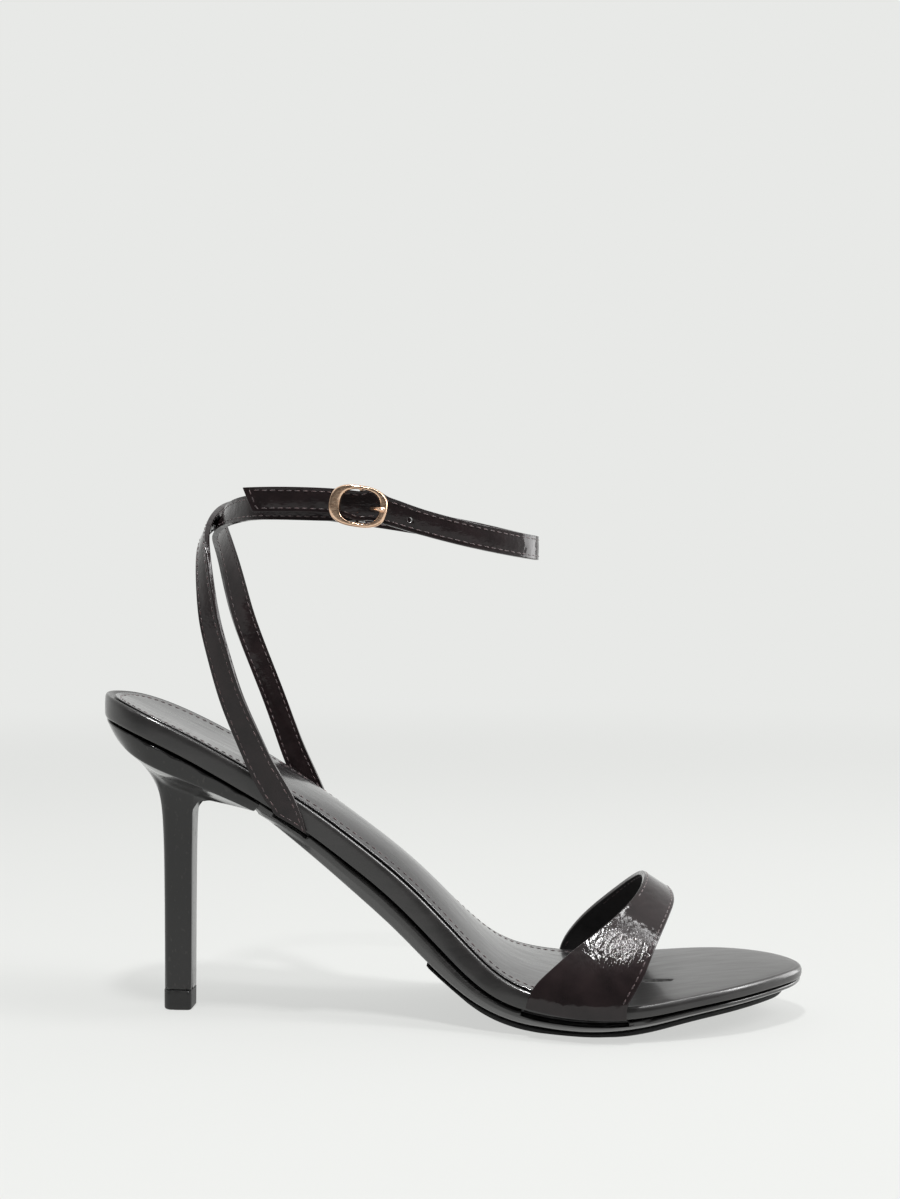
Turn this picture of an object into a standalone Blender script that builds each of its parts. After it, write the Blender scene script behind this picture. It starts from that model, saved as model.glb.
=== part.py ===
"""Strappy heeled sandal for a right foot, modelled at its real size in metres.

The middle of the heel tip's ground face is the origin. +X runs towards the toe, +Y towards
the inner (medial) side of the foot and +Z is up, so the buckle is on the -Y side.
"""

import math

import bmesh
import bpy
from mathutils import Matrix, Vector

MM = 0.001

# Main sizes of the last
LENGTH = 223 * MM
HEEL_SETBACK = 24.5 * MM
HEEL_RISE = 102 * MM
BALL_WIDTH = 75 * MM
HEEL_ROUND = 24.5 * MM
TOE_ROUND = 38.5 * MM
LEAN_LENGTH = 45 * MM

# Layers of the sole
CLEAR = 0.3 * MM
BAND_DEPTH = 7.2 * MM
RIM_ROLL = 2.6 * MM
CROWN = 4 * MM
OUTSOLE_DEPTH = 4 * MM
OUTSOLE_INSET = 1.2 * MM
OUTSOLE_BEVEL = 5.5 * MM
HALF_SOLE_WALL = 1.8 * MM
HALF_SOLE_INSET = 6.5 * MM
HALF_SOLE_SKIVE = 16 * MM
HALF_SOLE_THIN_END = 0.45
SOCK_WALL = 0.9 * MM
SOCK_INSET = 3.2 * MM
SOCK_RECESS = 1.1 * MM

# Heel
BREAST = 58.5 * MM
SEAT_INSET = 0.6 * MM
SHAFT_TOP = 55 * MM
SHAFT_LENGTH = 9.8 * MM
SHAFT_WIDTH = 9.2 * MM
SHAFT_TAPER = 0.95
SHAFT_BACK_SQUARENESS = 3
SHAFT_FRONT_SQUARENESS = 9
TIP_HEIGHT = 6.2 * MM
TIP_EDGE = 0.4 * MM

# Straps
STRAP_WIDTH = 7.6 * MM
STRAP_WALL = 1.8 * MM
CHAPE_WALL = 1.6 * MM
SKIVED_WALL = 0.9 * MM
TUCK = 5 * MM
POCKET_CLEAR = 0.35 * MM
POCKET_OUT = 2.5 * MM
POCKET_MARGIN = 0.6 * MM
LOOP_LENGTH = 107 * MM
LOOP_BACK = 8.3 * MM
LOOP_WIDTH = 65 * MM
ANKLE_RISE = 160 * MM
LATERAL_FOOT = 67.8 * MM
MEDIAL_FOOT = 70.2 * MM
TOE_STRAP_CREST = 43.4 * MM
TOE_STRAP_FALL = 5.6 * MM
TOE_STRAP_MIDDLE = 2.5 * MM

# Buckle
BUCKLE_LENGTH = 17.7 * MM
BUCKLE_HEIGHT = 12.5 * MM
BUCKLE_WALL = 1.6 * MM
BUCKLE_REAR = 3.4 * MM
BUCKLE_FRONT = 2.3 * MM
BUCKLE_EDGE = 1.25 * MM
BUCKLE_DROP = 0.65 * MM
CHAPE_SPREAD = 1.12
BUCKLE_TILT = math.radians(9)
BAR_RADIUS = 0.55 * MM
PRONG_RADIUS = 0.75 * MM
PRONG_LOOP_RADIUS = 0.45 * MM

# Rows of the sole from the heel's back to the toe. Heights are shares of HEEL_RISE, the middle
# line's shift to the inner side and the half width are shares of BALL_WIDTH, and the last three
# columns are shares of BAND_DEPTH, OUTSOLE_DEPTH and CROWN.
SOLE_COLUMNS = ("share", "rise", "middle", "half_width", "band", "outsole", "crown")
SOLE_ROWS = (
    (0.000, 1.000, 0.000, 0.325, 1.14, 0.90, 0.00),
    (0.040, 0.976, 0.000, 0.325, 1.10, 0.90, -0.25),
    (0.090, 0.930, 0.000, 0.324, 1.04, 0.90, -0.38),
    (0.145, 0.873, 0.000, 0.321, 1.00, 0.92, -0.34),
    (0.200, 0.807, 0.000, 0.318, 1.00, 0.95, -0.12),
    (0.255, 0.735, 0.000, 0.305, 1.00, 1.00, 0.19),
    (0.310, 0.658, 0.000, 0.282, 1.00, 1.15, 0.51),
    (0.370, 0.558, 0.000, 0.264, 1.00, 1.50, 0.77),
    (0.425, 0.463, 0.002, 0.262, 1.00, 1.70, 0.83),
    (0.470, 0.374, 0.006, 0.277, 1.00, 1.65, 0.75),
    (0.515, 0.277, 0.016, 0.312, 1.00, 1.58, 0.56),
    (0.555, 0.196, 0.030, 0.364, 0.98, 1.38, 0.42),
    (0.585, 0.155, 0.040, 0.408, 0.94, 1.22, 0.32),
    (0.620, 0.129, 0.043, 0.444, 0.86, 1.16, 0.24),
    (0.665, 0.113, 0.036, 0.480, 0.75, 1.10, 0.18),
    (0.715, 0.107, 0.024, 0.497, 0.65, 1.02, 0.12),
    (0.765, 0.113, 0.015, 0.484, 0.58, 0.86, 0.10),
    (0.825, 0.132, 0.013, 0.430, 0.56, 0.70, 0.10),
    (0.895, 0.150, 0.022, 0.381, 0.56, 0.67, 0.08),
    (0.955, 0.159, 0.027, 0.318, 0.56, 0.65, 0.05),
    (1.000, 0.157, 0.032, 0.254, 0.56, 0.65, 0.00),
)

# Places along the sole, as shares of its length, where the sole's pieces have a section
STATIONS = (
    0.0, 0.004, 0.016, 0.036, 0.062, 0.095, 0.14, 0.19, 0.24, 0.29, 0.335, 0.38, 0.42, 0.45,
    0.475, 0.5, 0.522, 0.543, 0.563, 0.583, 0.603, 0.63, 0.665, 0.70, 0.74, 0.78, 0.82, 0.86,
    0.895, 0.925, 0.95, 0.97, 0.986, 0.996, 1.0,
)
ACROSS = 6

# Shares of LENGTH: the half sole's start and end, the sock's end, under the toe strap, and the
# stretch there over which the footbed comes up to its rim.
HALF_SOLE_SPAN = (0.515, 1.00)
SOCK_END = 0.70
SOCK_FADE = (0.66, 0.74)

# The heel from its seat down to its shaft, at its back, sides and breast. "in" is the share of
# the way in from the seat's edge to the shaft, and "down" the share of the way down to
# SHAFT_TOP.
HEEL_COLUMNS = ("back_in", "back_down", "side_in", "side_down", "front_in", "front_down")
HEEL_ROWS = (
    (0.000, 0.000, 0.000, 0.00, 0.000, 0.00),
    (0.060, 0.040, 0.020, 0.12, 0.020, 0.07),
    (0.176, 0.116, 0.080, 0.24, 0.060, 0.13),
    (0.270, 0.175, 0.250, 0.29, 0.200, 0.02),
    (0.440, 0.280, 0.480, 0.35, 0.450, -0.12),
    (0.680, 0.432, 0.740, 0.40, 0.700, -0.24),
    (0.866, 0.580, 0.900, 0.47, 0.890, -0.18),
    (0.955, 0.730, 0.970, 0.62, 0.985, 0.10),
    (1.000, 1.000, 1.000, 1.00, 1.000, 1.00),
)

# The toe strap's two edges: "turn" goes from the outer side of the sole (0) over the crest
# (0.5) to its inner side (1), and the edges' places are shares of LENGTH from the heel's back.
TOE_STRAP_ROWS = (
    (0.00, 0.612, 0.738),
    (0.04, 0.624, 0.746),
    (0.08, 0.644, 0.756),
    (0.13, 0.668, 0.766),
    (0.18, 0.696, 0.774),
    (0.25, 0.729, 0.787),
    (0.33, 0.755, 0.801),
    (0.41, 0.768, 0.811),
    (0.50, 0.773, 0.812),
    (0.59, 0.770, 0.810),
    (0.67, 0.760, 0.804),
    (0.75, 0.741, 0.796),
    (0.82, 0.717, 0.789),
    (0.87, 0.697, 0.784),
    (0.92, 0.679, 0.780),
    (0.96, 0.666, 0.777),
    (1.00, 0.658, 0.775),
)

# The foot of each back strap on the side of the sole: its shift along the sole as a share of
# STRAP_WIDTH, its height as a share of the band's depth, its turn in degrees and its width as
# a share of STRAP_WIDTH.
FOOT_ROWS = (
    (0.00, -0.94, 0, 1.27),
    (-0.18, -0.80, 8, 1.24),
    (-0.42, -0.62, 18, 1.18),
    (-0.72, -0.40, 32, 1.12),
    (-1.04, -0.16, 45, 1.07),
)

# Middle lines of the two ankle straps. Places are shares of LOOP_LENGTH from the back of the
# loop, of half LOOP_WIDTH and of ANKLE_RISE. "facing" is the compass direction in degrees that
# the outer face looks to, "tilt" how far it looks up, and "lean" the angle of the strap's
# width above the level line along its face.
LATERAL_ROWS = (
    (0.208, -0.745, 0.497, -90, 0, 24, 1.05),
    (0.168, -0.800, 0.562, -96, 2, 21, 1.01),
    (0.126, -0.825, 0.631, -108, 4, 20, 1.00),
    (0.089, -0.812, 0.712, -116, 5, 16, 1.00),
    (0.063, -0.785, 0.775, -122, 5, 10, 1.00),
    (0.047, -0.725, 0.838, -132, 6, 9, 1.00),
    (0.033, -0.615, 0.897, -145, 10, 20, 1.00),
    (0.022, -0.400, 0.938, -160, 17, 42, 1.00),
    (0.025, -0.062, 0.970, -180, 24, 60, 1.00),
    (0.044, 0.277, 0.991, -204, 24, 66, 1.00),
    (0.086, 0.585, 1.003, -230, 16, 72, 1.00),
    (0.156, 0.810, 1.011, -250, 6, 84, 1.00),
    (0.268, 0.938, 1.011, -263, 0, 93, 1.00),
    (0.436, 0.985, 0.997, -270, 0, 98, 1.00),
    (0.623, 0.923, 0.977, -281, 0, 99, 1.00),
    (0.782, 0.745, 0.956, -298, 0, 99, 1.00),
    (0.904, 0.450, 0.934, -320, 0, 98, 1.00),
    (0.977, 0.150, 0.919, -345, 0, 94, 1.00),
    (0.986, -0.150, 0.916, -374, 0, 88, 1.00),
    (0.916, -0.450, 0.922, -400, 0, 82, 1.00),
    (0.790, -0.738, 0.938, -424, 0, 79, 1.00),
    (0.660, -0.915, 0.960, -440, 0, 78, 1.00),
    (0.570, -0.985, 0.980, -448, 0, 79, 1.08),
    (0.496, -1.003, 0.991, -450, 0, 81, 1.03),
    (0.408, -1.003, 0.998, -451, 0, 85, 1.00),
    (0.296, -0.985, 1.001, -455, 0, 89, 1.00),
    (0.181, -0.933, 1.001, -462, 0, 113, 1.08),
)
BUCKLE_ROW = 23
MEDIAL_ROWS = (
    (0.231, -0.745, 0.497, -90, 0, 24, 1.05),
    (0.198, -0.800, 0.552, -94, 2, 22, 1.01),
    (0.159, -0.825, 0.620, -100, 3, 21, 1.00),
    (0.103, -0.812, 0.714, -108, 4, 20, 1.00),
    (0.066, -0.775, 0.786, -116, 5, 17, 1.00),
    (0.045, -0.700, 0.850, -130, 6, 16, 1.00),
    (0.034, -0.560, 0.899, -147, 10, 28, 1.00),
    (0.030, -0.345, 0.935, -163, 17, 48, 1.00),
    (0.037, -0.046, 0.960, -182, 22, 62, 1.00),
    (0.074, 0.262, 0.977, -205, 20, 68, 1.00),
    (0.121, 0.520, 0.985, -230, 12, 76, 1.00),
    (0.183, 0.750, 0.989, -251, 4, 88, 1.00),
    (0.268, 0.880, 0.988, -263, 0, 93, 1.00),
    (0.370, 0.925, 0.987, -268, 0, 96, 1.06),
    (0.430, 0.938, 0.987, -270, 0, 98, 1.12),
)

# The chape's end behind the bar: its distance back from the bar as a share of STRAP_WIDTH and
# how much of the fold's depth is left there.
CHAPE_RETURN_ROWS = ((0.35, 0.92), (0.70, 0.72), (1.10, 0.58))


def clear_scene():
    """Remove every object that the file holds."""
    for item in list(bpy.data.objects):
        bpy.data.objects.remove(item, do_unlink=True)


def finish(name, color, roughness, metallic=0.0, coat=0.0):
    """Make a plain finish for one sub-part."""
    material = bpy.data.materials.new(name)
    material.use_nodes = True
    shader = material.node_tree.nodes["Principled BSDF"]
    shader.inputs["Base Color"].default_value = (*color, 1.0)
    shader.inputs["Roughness"].default_value = roughness
    shader.inputs["Metallic"].default_value = metallic
    shader.inputs["Coat Weight"].default_value = coat
    return material


def add_object(name, mesh_shape, material, sharp_angle=40):
    """Turn a bmesh into a named object with outward faces."""
    bmesh.ops.recalc_face_normals(mesh_shape, faces=mesh_shape.faces)
    mesh = bpy.data.meshes.new(name)
    mesh_shape.to_mesh(mesh)
    mesh_shape.free()
    mesh.materials.append(material)
    mesh.shade_smooth()
    mesh.set_sharp_from_angle(angle=math.radians(sharp_angle))
    item = bpy.data.objects.new(name, mesh)
    bpy.context.scene.collection.objects.link(item)
    return item


def make_cutter(item):
    """Mark an object as a tool that shapes another one."""
    item.hide_render = True
    item.display_type = "WIRE"
    return item


def add_boolean(item, tool, operation):
    """Join a tool to an object or cut it away."""
    step = item.modifiers.new(tool.name, "BOOLEAN")
    step.operation = operation
    step.solver = "EXACT"
    step.object = make_cutter(tool)


def read_curve(places, values, place):
    """Read a smooth curve through values at rising places."""
    place = min(max(place, places[0]), places[-1])
    last = len(places) - 2
    index = 0
    while index < last and place > places[index + 1]:
        index += 1

    def slope(i):
        low = max(i - 1, 0)
        high = min(i + 1, len(places) - 1)
        return (values[high] - values[low]) / (places[high] - places[low])

    span = places[index + 1] - places[index]
    t = (place - places[index]) / span
    ease_in = 2 * t**3 - 3 * t**2 + 1
    ease_out = 3 * t**2 - 2 * t**3
    lead = (t**3 - 2 * t**2 + t) * span * slope(index)
    trail = (t**3 - t**2) * span * slope(index + 1)
    return ease_in * values[index] + ease_out * values[index + 1] + lead + trail


SOLE_SHARES = [row[0] for row in SOLE_ROWS]


def sole(column, x):
    """Read one column of the sole's table at x from the heel's back."""
    index = SOLE_COLUMNS.index(column)
    return read_curve(SOLE_SHARES, [row[index] for row in SOLE_ROWS], x / LENGTH)


def band_depth(x):
    return BAND_DEPTH * sole("band", x)


def outsole_depth(x):
    return OUTSOLE_DEPTH * sole("outsole", x)


def bed(x, v):
    """Height of the footbed's top inside its rim; v runs from -1 to 1 across.

    It is let in for the sock and comes up to the rim in front of it, under the toe strap.
    """
    left = (SOCK_FADE[1] - x / LENGTH) / (SOCK_FADE[1] - SOCK_FADE[0])
    return CROWN * sole("crown", x) * (1 - v * v) - SOCK_RECESS * min(max(left, 0.0), 1.0)


def end_round(distance, radius):
    """Share of the width left at a distance from a rounded end."""
    if distance >= radius:
        return 1.0
    return math.sqrt(max(0.0, 1 - (1 - max(distance, 0.0) / radius) ** 2))


def half_width(x, inset=0.0):
    """Half the sole's width at x, drawn in all round by an inset."""
    core = BALL_WIDTH * sole("half_width", x) - inset
    back = end_round(x - inset, HEEL_ROUND - inset)
    toe = end_round(LENGTH - inset - x, TOE_ROUND - inset)
    return core * back * toe


def slope_angle(x):
    """Fall of the rim at x; the very back of the seat is built upright."""
    step = 2 * MM
    low = max(x - step, 0.0)
    high = min(x + step, LENGTH)
    fall = HEEL_RISE * (sole("rise", low) - sole("rise", high))
    upright = min(x / LEAN_LENGTH, 1.0)
    ease = upright * upright * (3 - 2 * upright)
    return math.atan2(fall, high - low) * ease


def on_sole(x, y, height):
    """Place a point from its length, its offset from the middle line and its height over the rim."""
    angle = slope_angle(x)
    return Vector((
        x - HEEL_SETBACK + height * math.sin(angle),
        y + BALL_WIDTH * sole("middle", x),
        HEEL_RISE * sole("rise", x) + height * math.cos(angle),
    ))


def stations_between(start, end):
    """The section places of a piece that runs from start to end."""
    inner = [s * LENGTH for s in STATIONS if start + MM < s * LENGTH < end - MM]
    return [start] + inner + [end]


def section_lines(start, end, inset, height, floor=None):
    """Points across the sole at each station, for one level of a piece.

    The height function takes x and the share of the way out to the rolled rim.
    """
    lines = []
    near = start + inset
    far = end - inset
    for x in stations_between(start, end):
        moved = near + (x - start) * (far - near) / (end - start)
        half = half_width(moved, inset)
        reach = half / max(half_width(moved, RIM_ROLL), half, MM)
        shares = [0.0] if half < 0.05 * MM else [2 * j / ACROSS - 1 for j in range(ACROSS + 1)]
        line = []
        for v in shares:
            point = on_sole(moved, v * half, height(moved, v * reach))
            if floor is not None:
                point.z = max(point.z, floor)
            line.append(point)
        lines.append(line)
    return lines


def ring_of(lines):
    """The outline of a level: outer side, front, inner side, back."""
    ring = [line[0] for line in lines]
    ring += lines[-1][1:-1]
    ring += [line[-1] for line in reversed(lines) if len(line) > 1]
    ring += list(reversed(lines[0][1:-1]))
    return ring


def fill_cap(shape, lines, upward):
    """Close a level with faces between its cross lines."""
    for low, high in zip(lines, lines[1:]):
        count = max(len(low), len(high)) - 1
        for j in range(count):
            a = [low[0]] if len(low) == 1 else [low[j], low[j + 1]]
            b = [high[0]] if len(high) == 1 else [high[j], high[j + 1]]
            corners = [a[0]] + b + ([a[1]] if len(a) > 1 else [])
            shape.faces.new(corners if upward else list(reversed(corners)))


def bridge(shape, low, high):
    """Join two rings of equal length with faces."""
    count = len(low)
    for i in range(count):
        j = (i + 1) % count
        shape.faces.new((low[i], low[j], high[j], high[i]))


def plate(name, material, start, end, levels, floor=None):
    """Build a piece of the sole from levels of (inset, height function), lowest first."""
    shape = bmesh.new()
    rings = []
    caps = []
    for level, (inset, height) in enumerate(levels):
        lines = section_lines(start, end, inset, height, floor)
        if level in (0, len(levels) - 1):
            caps.append([[shape.verts.new(point) for point in line] for line in lines])
            rings.append(ring_of(caps[-1]))
        else:
            rings.append([shape.verts.new(point) for point in ring_of(lines)])
    for low, high in zip(rings, rings[1:]):
        bridge(shape, low, high)
    fill_cap(shape, caps[0], upward=False)
    fill_cap(shape, caps[1], upward=True)
    return add_object(name, shape, material)


def make_footbed(material):
    """The wrapped board: an even band at its side and a rolled rim round its top."""
    levels = (
        (0.9 * MM, lambda x, v: -band_depth(x)),
        (0.15 * MM, lambda x, v: 0.7 * MM - band_depth(x)),
        (0.0, lambda x, v: 1.6 * MM - band_depth(x)),
        (0.0, lambda x, v: -0.55 * RIM_ROLL),
        (0.16 * RIM_ROLL, lambda x, v: -0.22 * RIM_ROLL),
        (0.42 * RIM_ROLL, lambda x, v: -0.03 * RIM_ROLL),
        (0.72 * RIM_ROLL, lambda x, v: min(bed(x, 1.0), -0.05 * RIM_ROLL)),
        (RIM_ROLL, bed),
    )
    return plate("footbed", material, 0.0, LENGTH, levels)


def make_insole(material):
    """The sock: it lies on the footbed from the heel to under the toe strap."""
    levels = (
        (SOCK_INSET, lambda x, v: bed(x, v) + CLEAR),
        (SOCK_INSET, lambda x, v: bed(x, v) + CLEAR + 0.7 * SOCK_WALL),
        (SOCK_INSET + 0.3 * SOCK_WALL, lambda x, v: bed(x, v) + CLEAR + SOCK_WALL),
    )
    return plate("insole", material, 0.0, SOCK_END * LENGTH, levels)


def outsole_top(x):
    return -band_depth(x) - CLEAR


def outsole_bottom(x):
    return outsole_top(x) - outsole_depth(x)


def make_outsole(material):
    """The outsole from the heel's breast to the toe, with a bevelled underside."""
    levels = (
        (OUTSOLE_INSET + OUTSOLE_BEVEL, lambda x, v: outsole_bottom(x)),
        (OUTSOLE_INSET + 0.45 * OUTSOLE_BEVEL, lambda x, v: outsole_top(x) - 0.86 * outsole_depth(x)),
        (OUTSOLE_INSET + 0.10 * OUTSOLE_BEVEL, lambda x, v: outsole_top(x) - 0.52 * outsole_depth(x)),
        (OUTSOLE_INSET, lambda x, v: outsole_top(x) - 0.40 * outsole_depth(x)),
        (OUTSOLE_INSET, lambda x, v: outsole_top(x)),
    )
    return plate("outsole", material, BREAST + CLEAR, LENGTH, levels)


def half_sole_wall(x):
    """The half sole's thickness: pared down to a thin end in the waist."""
    share = (x - HALF_SOLE_SPAN[0] * LENGTH) / HALF_SOLE_SKIVE
    return HALF_SOLE_WALL * min(max(share, HALF_SOLE_THIN_END), 1.0)


def make_half_sole(material):
    """The thin tread from the waist to the toe, worn flat where it meets the floor."""
    start, end = (share * LENGTH for share in HALF_SOLE_SPAN)
    bottom = outsole_bottom
    levels = (
        (HALF_SOLE_INSET + 0.5 * MM, lambda x, v: bottom(x) - CLEAR - half_sole_wall(x)),
        (HALF_SOLE_INSET, lambda x, v: bottom(x) - CLEAR - 0.7 * half_sole_wall(x)),
        (HALF_SOLE_INSET, lambda x, v: bottom(x) - CLEAR),
    )
    return plate("half_sole", material, start - HALF_SOLE_INSET, end, levels, floor=0.0)


def shaft_point(angle, z, inset=0.0):
    """A point on the heel shaft's section at a height: round behind and square in front."""
    taper = SHAFT_TAPER + (1 - SHAFT_TAPER) * z / SHAFT_TOP
    cosine = math.cos(angle)
    sine = math.sin(angle)
    power = 2 / (SHAFT_BACK_SQUARENESS if cosine < 0 else SHAFT_FRONT_SQUARENESS)
    reach_x = (SHAFT_LENGTH / 2 * taper - inset) * math.copysign(abs(cosine) ** power, cosine)
    reach_y = (SHAFT_WIDTH / 2 * taper - inset) * math.copysign(abs(sine) ** power, sine)
    return Vector((reach_x, reach_y, z))


def heel_level(seat, angle, row):
    """Follow the heel's curve from a seat point towards the shaft."""
    values = dict(zip(HEEL_COLUMNS, row))
    end = "back" if math.cos(angle) < 0 else "front"
    side = math.sin(angle) ** 2
    inward = values[end + "_in"] * (1 - side) + values["side_in"] * side
    down = values[end + "_down"] * (1 - side) + values["side_down"] * side
    shaft = shaft_point(angle, SHAFT_TOP)
    point = seat.lerp(shaft, inward)
    point.z = seat.z + (SHAFT_TOP - seat.z) * down
    return point


def make_heel(material):
    """The slim heel: a seat cut to the footbed, a hollow flare and a straight shaft."""
    shape = bmesh.new()
    lines = section_lines(0.0, BREAST, SEAT_INSET, lambda x, v: -band_depth(x) - CLEAR)
    caps = [[shape.verts.new(point) for point in line] for line in lines]
    top = ring_of(caps)
    middle = (lines[0][0].x + lines[-1][0].x) / 2
    reach = (lines[-1][0].x - lines[0][0].x) / 2
    width = BALL_WIDTH * sole("half_width", BREAST / 2)
    angles = [math.atan2(vert.co.y / width, (vert.co.x - middle) / reach) for vert in top]
    rings = [top]
    for row in HEEL_ROWS[1:]:
        rings.append([shape.verts.new(heel_level(v.co, a, row)) for v, a in zip(top, angles)])
    foot = TIP_HEIGHT + CLEAR
    for z in (0.55 * SHAFT_TOP, foot):
        rings.append([shape.verts.new(shaft_point(a, z)) for a in angles])
    for low, high in zip(rings[1:], rings):
        bridge(shape, low, high)
    fill_cap(shape, caps, upward=True)
    shape.faces.new(list(reversed(rings[-1])))
    return add_object("heel", shape, material)


def make_heel_tip(material):
    """The hard top piece that the heel stands on."""
    shape = bmesh.new()
    count = 28
    angles = [2 * math.pi * i / count for i in range(count)]
    levels = ((0.0, TIP_EDGE), (TIP_EDGE, 0.0), (TIP_HEIGHT, 0.0))
    rings = [[shape.verts.new(shaft_point(a, z, inset)) for a in angles] for z, inset in levels]
    for low, high in zip(rings, rings[1:]):
        bridge(shape, low, high)
    shape.faces.new(list(reversed(rings[0])))
    shape.faces.new(rings[-1])
    return add_object("heel_tip", shape, material)


def strip(name, material, rows):
    """Thicken rows of (points across, wall) into one closed strap."""
    shape = bmesh.new()
    loops = []
    last = len(rows) - 1
    for k, (points, wall) in enumerate(rows):
        before = rows[max(k - 1, 0)][0]
        after = rows[min(k + 1, last)][0]
        outer = []
        inner = []
        for j, point in enumerate(points):
            along = after[j] - before[j]
            across = points[min(j + 1, len(points) - 1)] - points[max(j - 1, 0)]
            normal = across.cross(along).normalized() * wall / 2
            outer.append(shape.verts.new(point + normal))
            inner.append(shape.verts.new(point - normal))
        loops.append(outer + list(reversed(inner)))
    for low, high in zip(loops, loops[1:]):
        bridge(shape, low, high)
    for loop in (loops[0], loops[-1]):
        half = len(loop) // 2
        for j in range(half - 1):
            shape.faces.new((loop[j], loop[j + 1], loop[-2 - j], loop[-1 - j]))
    return add_object(name, shape, material, sharp_angle=50)


def tucked_rows(xs, side):
    """Rows of a strap's end: under the footbed, round its lower edge and onto its side."""
    gap = CLEAR + SKIVED_WALL / 2
    spots = (
        (-TUCK, -gap, SKIVED_WALL),
        (-0.5 * TUCK, -gap, SKIVED_WALL),
        (-0.6 * MM, -gap, SKIVED_WALL),
        (0.45 * gap, -0.62 * gap, SKIVED_WALL),
        (CLEAR + 0.6 * SKIVED_WALL, 0.5 * MM, 1.15 * SKIVED_WALL),
    )
    rows = []
    for out, rise, thickness in spots:
        points = []
        for x in xs:
            y = side * (half_width(x) + out)
            points.append(on_sole(x, y, rise - band_depth(x)))
        rows.append((points, thickness))
    return rows


def spread(low, high, count):
    return [low + (high - low) * j / count for j in range(count + 1)]


def toe_strap_edges(turn):
    """The back and front edges of the toe strap at a turn, from the heel's back."""
    turns = [row[0] for row in TOE_STRAP_ROWS]
    back = read_curve(turns, [row[1] for row in TOE_STRAP_ROWS], turn)
    front = read_curve(turns, [row[2] for row in TOE_STRAP_ROWS], turn)
    return back * LENGTH, front * LENGTH


def side_point(x, side, height, wall):
    """The middle of a strap's wall where it lies on the sole's side."""
    return on_sole(x, side * (half_width(x) + CLEAR + wall / 2), height)


def toe_arch_point(turn, share):
    """A point of the toe strap's middle surface over the toes."""
    back, front = toe_strap_edges(turn)
    x = back + (front - back) * share
    side = -1 if turn < 0.5 else 1
    foot_back, foot_front = toe_strap_edges(0.0 if side < 0 else 1.0)
    foot = side_point(foot_back + (foot_front - foot_back) * share, side, 0.0, STRAP_WALL)
    crest = TOE_STRAP_CREST - TOE_STRAP_FALL * share
    angle = math.pi * turn
    reach = abs(foot.y - TOE_STRAP_MIDDLE)
    y = TOE_STRAP_MIDDLE - reach * math.cos(angle)
    z = foot.z + (crest - foot.z) * math.sin(angle)
    return Vector((x - HEEL_SETBACK, y, z))


def toe_strap_rows(across=6, steps=26):
    rows = []
    turns = [i / steps for i in range(steps + 1)]
    for side, turn in ((-1, 0.0), (1, 1.0)):
        xs = spread(*toe_strap_edges(turn), across)
        ends = tucked_rows(xs, side)
        for height in (-0.72, -0.38):
            points = [side_point(x, side, height * band_depth(x), STRAP_WALL) for x in xs]
            ends.append((points, STRAP_WALL))
        if side < 0:
            rows += ends
            for middle in turns:
                points = [toe_arch_point(middle, share) for share in spread(0, 1, across)]
                rows.append((points, STRAP_WALL))
        else:
            rows += list(reversed(ends))
    return rows


def make_toe_strap(material):
    """The band over the toes, wide at the sole and narrow at its crest."""
    return strip("toe_strap", material, toe_strap_rows())


def foot_span(foot):
    """Where a back strap's foot starts and ends along the sole."""
    half = FOOT_ROWS[0][3] * STRAP_WIDTH / 2
    return foot - half, foot + half


def foot_rows(foot, side, wall, across):
    """A back strap's foot, from under the sole up its side to the rim."""
    rows = tucked_rows(spread(*foot_span(foot), across), side)
    for along, height, turn, width in FOOT_ROWS:
        points = []
        for share in spread(-0.5, 0.5, across):
            offset = share * width * STRAP_WIDTH
            x = foot + along * STRAP_WIDTH + offset * math.cos(math.radians(turn))
            rise = height * band_depth(x) + offset * math.sin(math.radians(turn))
            points.append(side_point(x, side, rise, wall))
        rows.append((points, wall))
    return rows


def strap_row_points(values, side, across):
    """The points across a strap at one row of its table."""
    x, y, z, facing, tilt, lean, width = values
    centre = Vector((
        LOOP_BACK + x * LOOP_LENGTH,
        y * LOOP_WIDTH / 2,
        z * ANKLE_RISE,
    ))
    compass = math.radians(facing)
    outward = Vector((math.cos(compass), math.sin(compass), 0.0))
    level = Vector((-outward.y, outward.x, 0.0))
    upright = math.cos(math.radians(tilt)) * Vector((0, 0, 1)) - math.sin(math.radians(tilt)) * outward
    angle = math.radians(lean)
    direction = level * math.cos(angle) + upright * math.sin(angle)
    points = [centre + direction * share * width * STRAP_WIDTH for share in spread(-0.5, 0.5, across)]
    for point in points:
        point.y *= -side
    return points


def strap_path_rows(table, side, wall, across, detail=2):
    """Rows along a strap's table, with extra ones between them."""
    places = list(range(len(table)))
    columns = [[row[i] for row in table] for i in range(len(table[0]))]
    rows = []
    for step in range((len(table) - 1) * detail + 1):
        place = step / detail
        values = [read_curve(places, column, place) for column in columns]
        rows.append((strap_row_points(values, side, across), wall))
    return rows


def buckle_seat():
    """The buckle's middle, a little below the tail's, and its own directions."""
    place = LATERAL_ROWS[BUCKLE_ROW]
    centre = Vector((
        LOOP_BACK + place[0] * LOOP_LENGTH,
        place[1] * LOOP_WIDTH / 2,
        place[2] * ANKLE_RISE,
    ))
    forward = Vector((math.cos(BUCKLE_TILT), 0, -math.sin(BUCKLE_TILT)))
    upward = Vector((math.sin(BUCKLE_TILT), 0, math.cos(BUCKLE_TILT)))
    outward = Vector((0, -1, 0))
    return centre - upward * BUCKLE_DROP, forward, upward, outward


FOLD_RADIUS = BAR_RADIUS + CLEAR + CHAPE_WALL / 2
BAR_DROP = STRAP_WALL / 2 + CLEAR + CHAPE_WALL + CLEAR + BAR_RADIUS


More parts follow.
